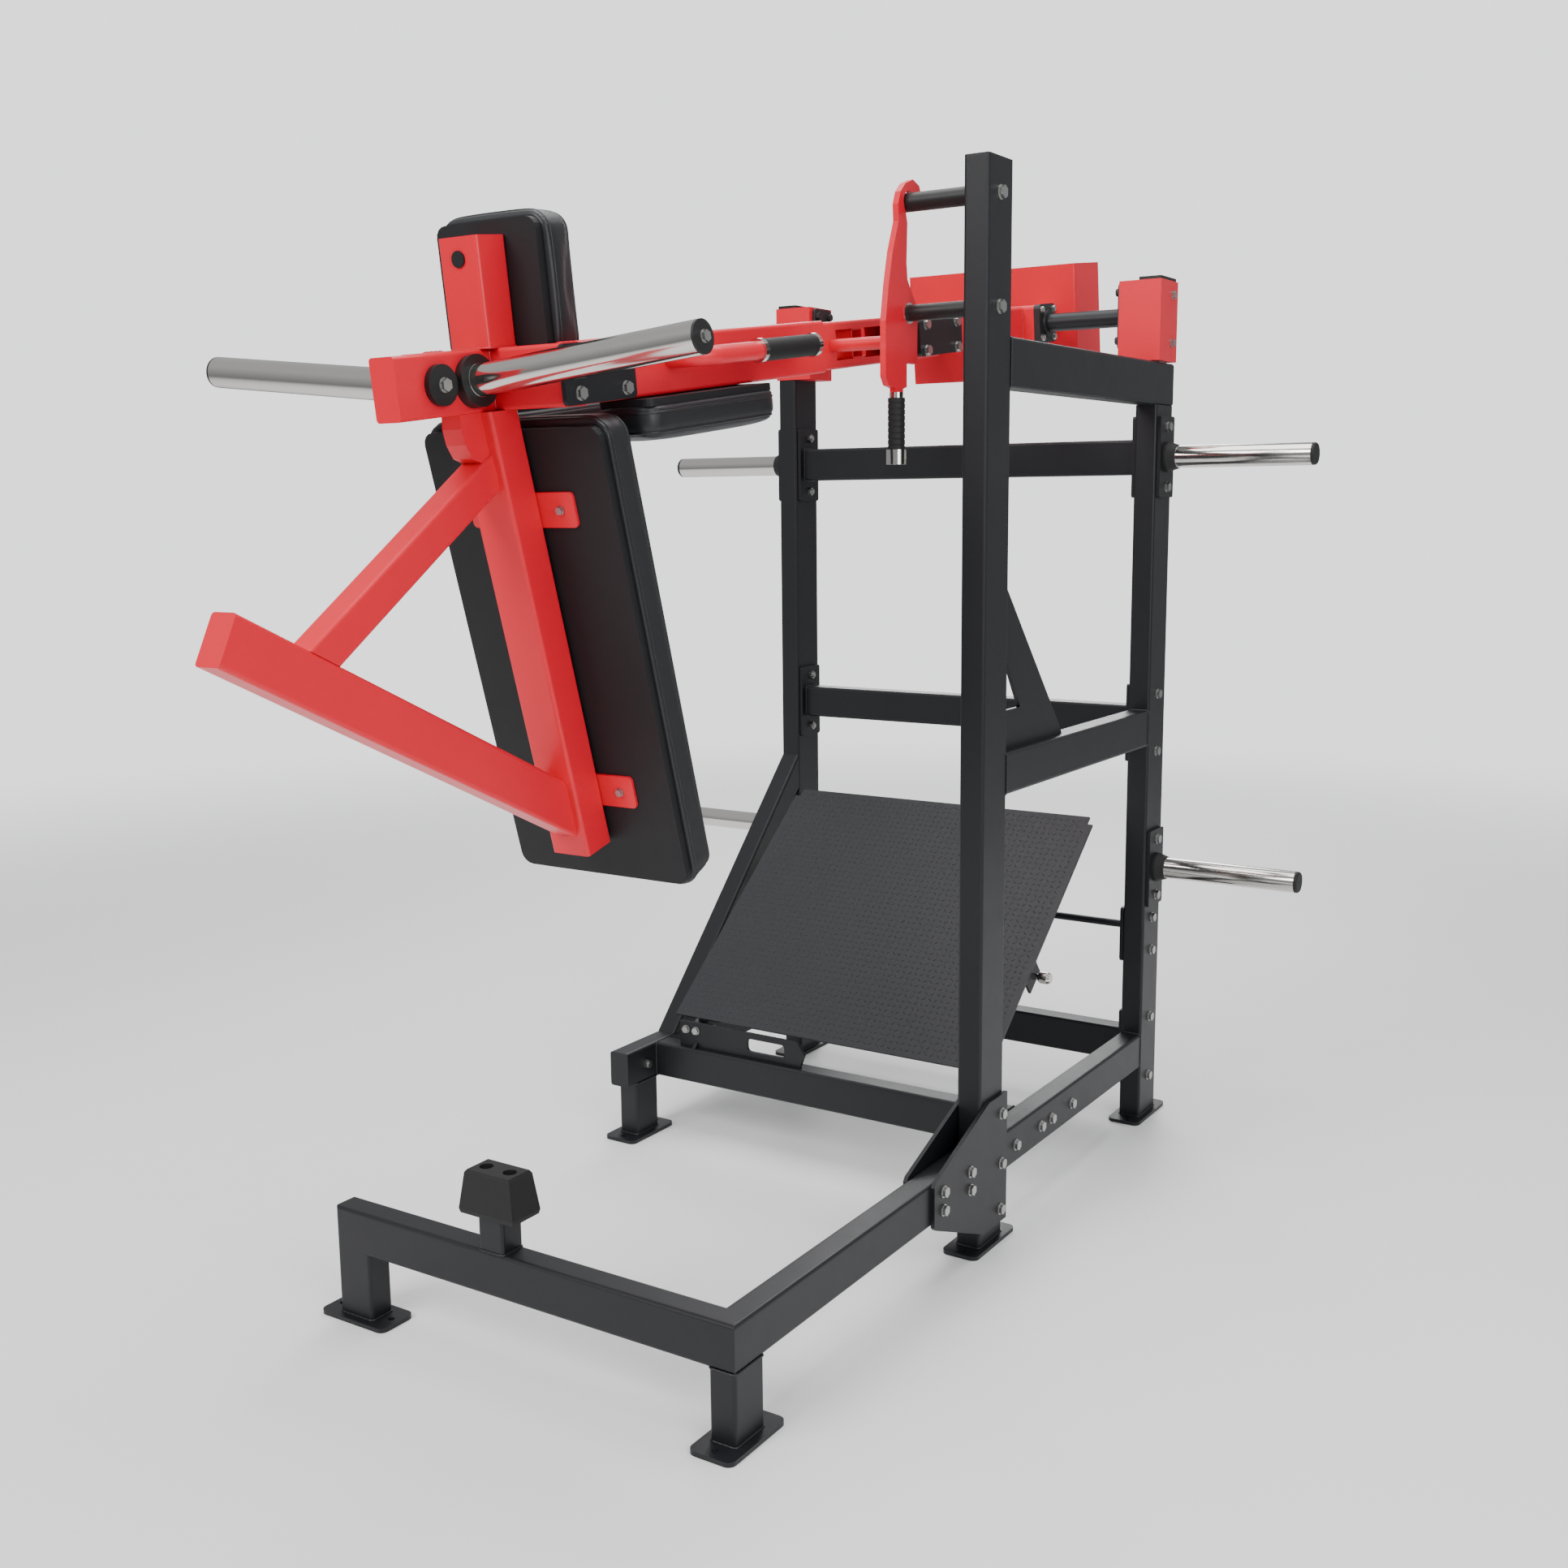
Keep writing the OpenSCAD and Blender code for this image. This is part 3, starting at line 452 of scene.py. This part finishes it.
def deck_tread():
    """Raised bars, each turned at right angles to its neighbours."""
    layers = ((bar_outline(tip=0.0062, shoulder=0.003, half_width=0.0017), -0.0004),
              (bar_outline(tip=0.0042, shoulder=0.002, half_width=0.0008), 0.0008))
    columns, rows = int(TREAD_WIDTH / TREAD_PITCH), int(TREAD_LENGTH / TREAD_PITCH)
    verts, faces = [], []
    for j in range(rows):
        for i in range(columns):
            bar_x = (i - (columns - 1) / 2) * TREAD_PITCH + TREAD_X
            bar_y = TREAD_Y + (j - (rows - 1) / 2) * TREAD_PITCH
            if abs(bar_x - TREAD_X) > NOTCH_HALF_WIDTH and bar_y > NOTCH_Y:
                continue
            angle = math.radians(45 if (i + j) % 2 else -45)
            cos, sin = math.cos(angle), math.sin(angle)
            start = len(verts)
            for outline, z in layers:
                for x, y in outline:
                    verts.append(DECK @ Vector((bar_x + x * cos - y * sin,
                                                bar_y + x * sin + y * cos, z)))
            base, top = range(start, start + 6), range(start + 6, start + 12)
            for k in range(6):
                after = (k + 1) % 6
                faces.append((base[k], base[after], top[after], top[k]))
            faces.append(tuple(top))
            faces.append(tuple(reversed(base)))
    tread = new_object("deck_tread_bars", verts, faces, MATERIALS["tread"])
    register(tread, "foot_deck", "tread")


deck_tread()

# ---------------------------------------------------------------- weld beads
TUBE = 0.050       # narrow side of the frame tubes
UPRIGHT_X = 0.470  # the uprights stand at plus and minus this
RAIL_X = 0.142     # and so do the two rails of the arm
XY, XZ, YZ = (0, 1), (0, 2), (1, 2)  # plane of a bead, as axis numbers


def weld_loop(place, plane, center, width, depth):
    """Rounded rectangle round a tube end, moved from its local frame to the scene."""
    loop = []
    for offsets in rounded_rect(width, depth, 0.006, 3):
        point = list(center)
        for axis, offset in zip(plane, offsets):
            point[axis] += offset
        loop.append(place @ Vector(point))
    return loop


def weld_beads(name, place, rows, body, slot, mat, radius):
    tubes = [closed_tube(resample(weld_loop(place, *row), 0.0035), radius,
                         sides=6, ripple=0.22) for row in rows]
    register(join_meshes(name, tubes, mat), body, slot)


# Rows are plane, centre, and the size along the two axes of the plane.
stand_rows = [
    (XY, (-0.3335, -1.702, 0.0085), 0.080, TUBE),
    (XY, (UPRIGHT_X, -1.687, 0.0085), TUBE, 0.080),
    (XY, (UPRIGHT_X, -0.842, 0.0085), TUBE, 0.100),
    (XY, (-UPRIGHT_X, -0.717, 0.0085), TUBE, 0.080),
    (XY, (UPRIGHT_X, 0, 0.0085), TUBE, 0.100),
    (XY, (-UPRIGHT_X, 0, 0.0085), TUBE, 0.100),
    (XY, (UPRIGHT_X, -1.687, 0.1298), TUBE, 0.080),
    (XY, (-UPRIGHT_X, -0.717, 0.1298), TUBE, 0.080),
    (XY, (0, -1.702, 0.2102), 0.055, TUBE),
]
for sign in (1, -1):
    for z, height in ((1.537, 0.078), (0.940, 0.076), (0.170, 0.080)):
        stand_rows.append((YZ, (sign * 0.4368, 0, z), TUBE, height))
    stand_rows.append((YZ, (sign * 0.4448, -0.655, 0.170), TUBE, 0.080))
for y in (-0.7918, -0.0502):
    stand_rows.append((XZ, (UPRIGHT_X, y, 0.931), TUBE, 0.082))
    stand_rows.append((XZ, (UPRIGHT_X, y, 0.170), TUBE, 0.080))
stand_rows.append((XZ, (UPRIGHT_X, -0.7918, 1.696), TUBE, 0.092))
stand_rows.append((XZ, (-UPRIGHT_X, -0.0502, 0.170), TUBE, 0.080))
weld_beads("stand_welds", STAND, stand_rows, "stand", "frame_black",
           MATERIALS["weld_black"], radius=0.0022)

arm_rows = [(XZ, (0, -1.6842, 0), TUBE, 0.095)]
for sign in (1, -1):
    for y, height in ((-1.6332, 0.095), (-0.0425, 0.080), (0.0425, 0.080), (0.1385, 0.080)):
        arm_rows.append((XZ, (sign * RAIL_X, y, 0), TUBE, height))
arm_rows.append((XY, (0, -1.667, 0.048), 0.080, 0.066))
weld_beads("arm_welds", ARM, arm_rows, "swing_arm", "arm_red",
           MATERIALS["weld_red"], radius=0.0020)


# ---------------------------------------------------------------- floor, light and camera
def floor_material():
    """Pale floor that fades to transparent away from the middle."""
    made = bpy.data.materials.new("floor")
    made.use_nodes = True
    tree = made.node_tree
    surface = tree.nodes["Principled BSDF"]
    noise = add_node(tree, "TexNoise", {"Scale": 3.0})
    shade = add_node(tree, "Mix", {
        "Factor": noise.outputs["Fac"],
        "A": (0.86, 0.86, 0.86, 1), "B": (0.90, 0.90, 0.895, 1)}, data_type="RGBA")
    set_inputs(tree, surface, {"Roughness": 0.55, "Base Color": shade.outputs["Result"]})
    coords = add_node(tree, "TexCoord")
    distance = add_node(tree, "VectorMath", {0: coords.outputs["Object"]},
                        operation="LENGTH")
    fade = add_node(tree, "MapRange", {
        "Value": distance.outputs["Value"], "From Min": 2.6, "From Max": 7.5,
    }, interpolation_type="SMOOTHSTEP")
    clear = add_node(tree, "BsdfTransparent")
    blend = add_node(tree, "MixShader", {
        "Fac": fade.outputs["Result"],
        1: surface.outputs["BSDF"], 2: clear.outputs["BSDF"]})
    set_inputs(tree, tree.nodes["Material Output"], {"Surface": blend.outputs["Shader"]})
    return made


def area_light(name, location, target, width, height, power, color=(1, 1, 1), specular=1.0):
    data = bpy.data.lights.new(name, "AREA")
    set_attributes(data, shape="RECTANGLE", size=width, size_y=height, energy=power,
                   color=color, specular_factor=specular)
    light = bpy.data.objects.new(name, data)
    bpy.context.scene.collection.objects.link(light)
    light.location = location
    aim = Vector(target) - Vector(location)
    light.rotation_euler = aim.to_track_quat("-Z", "Y").to_euler()
    return light


def studio_world():
    """Grey gradient, lighter upwards, for lighting; a bright even one for the camera."""
    world = bpy.data.worlds.new("studio")
    bpy.context.scene.world = world
    world.use_nodes = True
    tree = world.node_tree
    coords = add_node(tree, "TexCoord")
    split = add_node(tree, "SeparateXYZ", {"Vector": coords.outputs["Generated"]})
    rise = add_node(tree, "MapRange", {"Value": split.outputs["Z"], "From Min": -1.0})
    ramp = add_node(tree, "ValToRGB", {"Fac": rise.outputs["Result"]})
    low, high = ramp.color_ramp.elements
    set_attributes(low, position=0.35, color=(0.42, 0.43, 0.44, 1))
    set_attributes(high, position=0.75, color=(0.95, 0.96, 0.97, 1))
    lighting = tree.nodes["Background"]
    set_inputs(tree, lighting, {"Color": ramp.outputs["Color"], "Strength": 0.62})
    backdrop = add_node(tree, "Background", {
        "Color": (0.93, 0.935, 0.94, 1), "Strength": 1.9})
    light_path = add_node(tree, "LightPath")
    pick = add_node(tree, "MixShader", {
        "Fac": light_path.outputs["Is Camera Ray"],
        1: lighting.outputs["Background"], 2: backdrop.outputs["Background"]})
    set_inputs(tree, tree.nodes["World Output"], {"Surface": pick.outputs["Shader"]})


def add_camera(location, yaw, pitch, roll, lens):
    """Camera looking along +y, turned towards -x by yaw and down by pitch (radians)."""
    forward = Vector((-math.sin(yaw) * math.cos(pitch),
                      math.cos(yaw) * math.cos(pitch), -math.sin(pitch)))
    level = Vector((math.cos(yaw), math.sin(yaw), 0))
    upright = level.cross(forward)
    right = level * math.cos(roll) + upright * math.sin(roll)
    up = -level * math.sin(roll) + upright * math.cos(roll)
    data = bpy.data.cameras.new("camera")
    set_attributes(data, sensor_fit="HORIZONTAL", sensor_width=36.0, lens=lens,
                   clip_end=200)
    camera = bpy.data.objects.new("camera", data)
    bpy.context.scene.collection.objects.link(camera)
    camera.matrix_world = axes_frame(right, up, -forward, location)
    bpy.context.scene.camera = camera


bpy.ops.mesh.primitive_plane_add(size=60, location=(0, 0, -0.0005))
floor = bpy.context.object
floor.name = "floor"
floor.data.materials.append(floor_material())
lights = [
    area_light("key", location=(-1.0, -4.8, 4.4), target=(0, 0, 0.9), width=2.6,
               height=2.6, power=230, color=(1, 0.99, 0.97), specular=0.45),
    area_light("fill", location=(3.8, -2.0, 2.4), target=(0, 0, 1.0), width=2.2,
               height=2.6, power=95, color=(0.97, 0.98, 1)),
    area_light("top", location=(0, 0.4, 4.6), target=(0, 0, 0), width=3.4, height=3.4,
               power=150),
    area_light("rim", location=(-1.5, 4.2, 2.8), target=(0, 0.3, 1.1), width=2.0,
               height=2.0, power=100),
]
studio_world()
add_camera(location=(1.879, -3.711 + STAND_Y, 1.45), yaw=math.radians(32.917),
           pitch=math.radians(9.464), roll=math.radians(-0.569), lens=39.07397516)
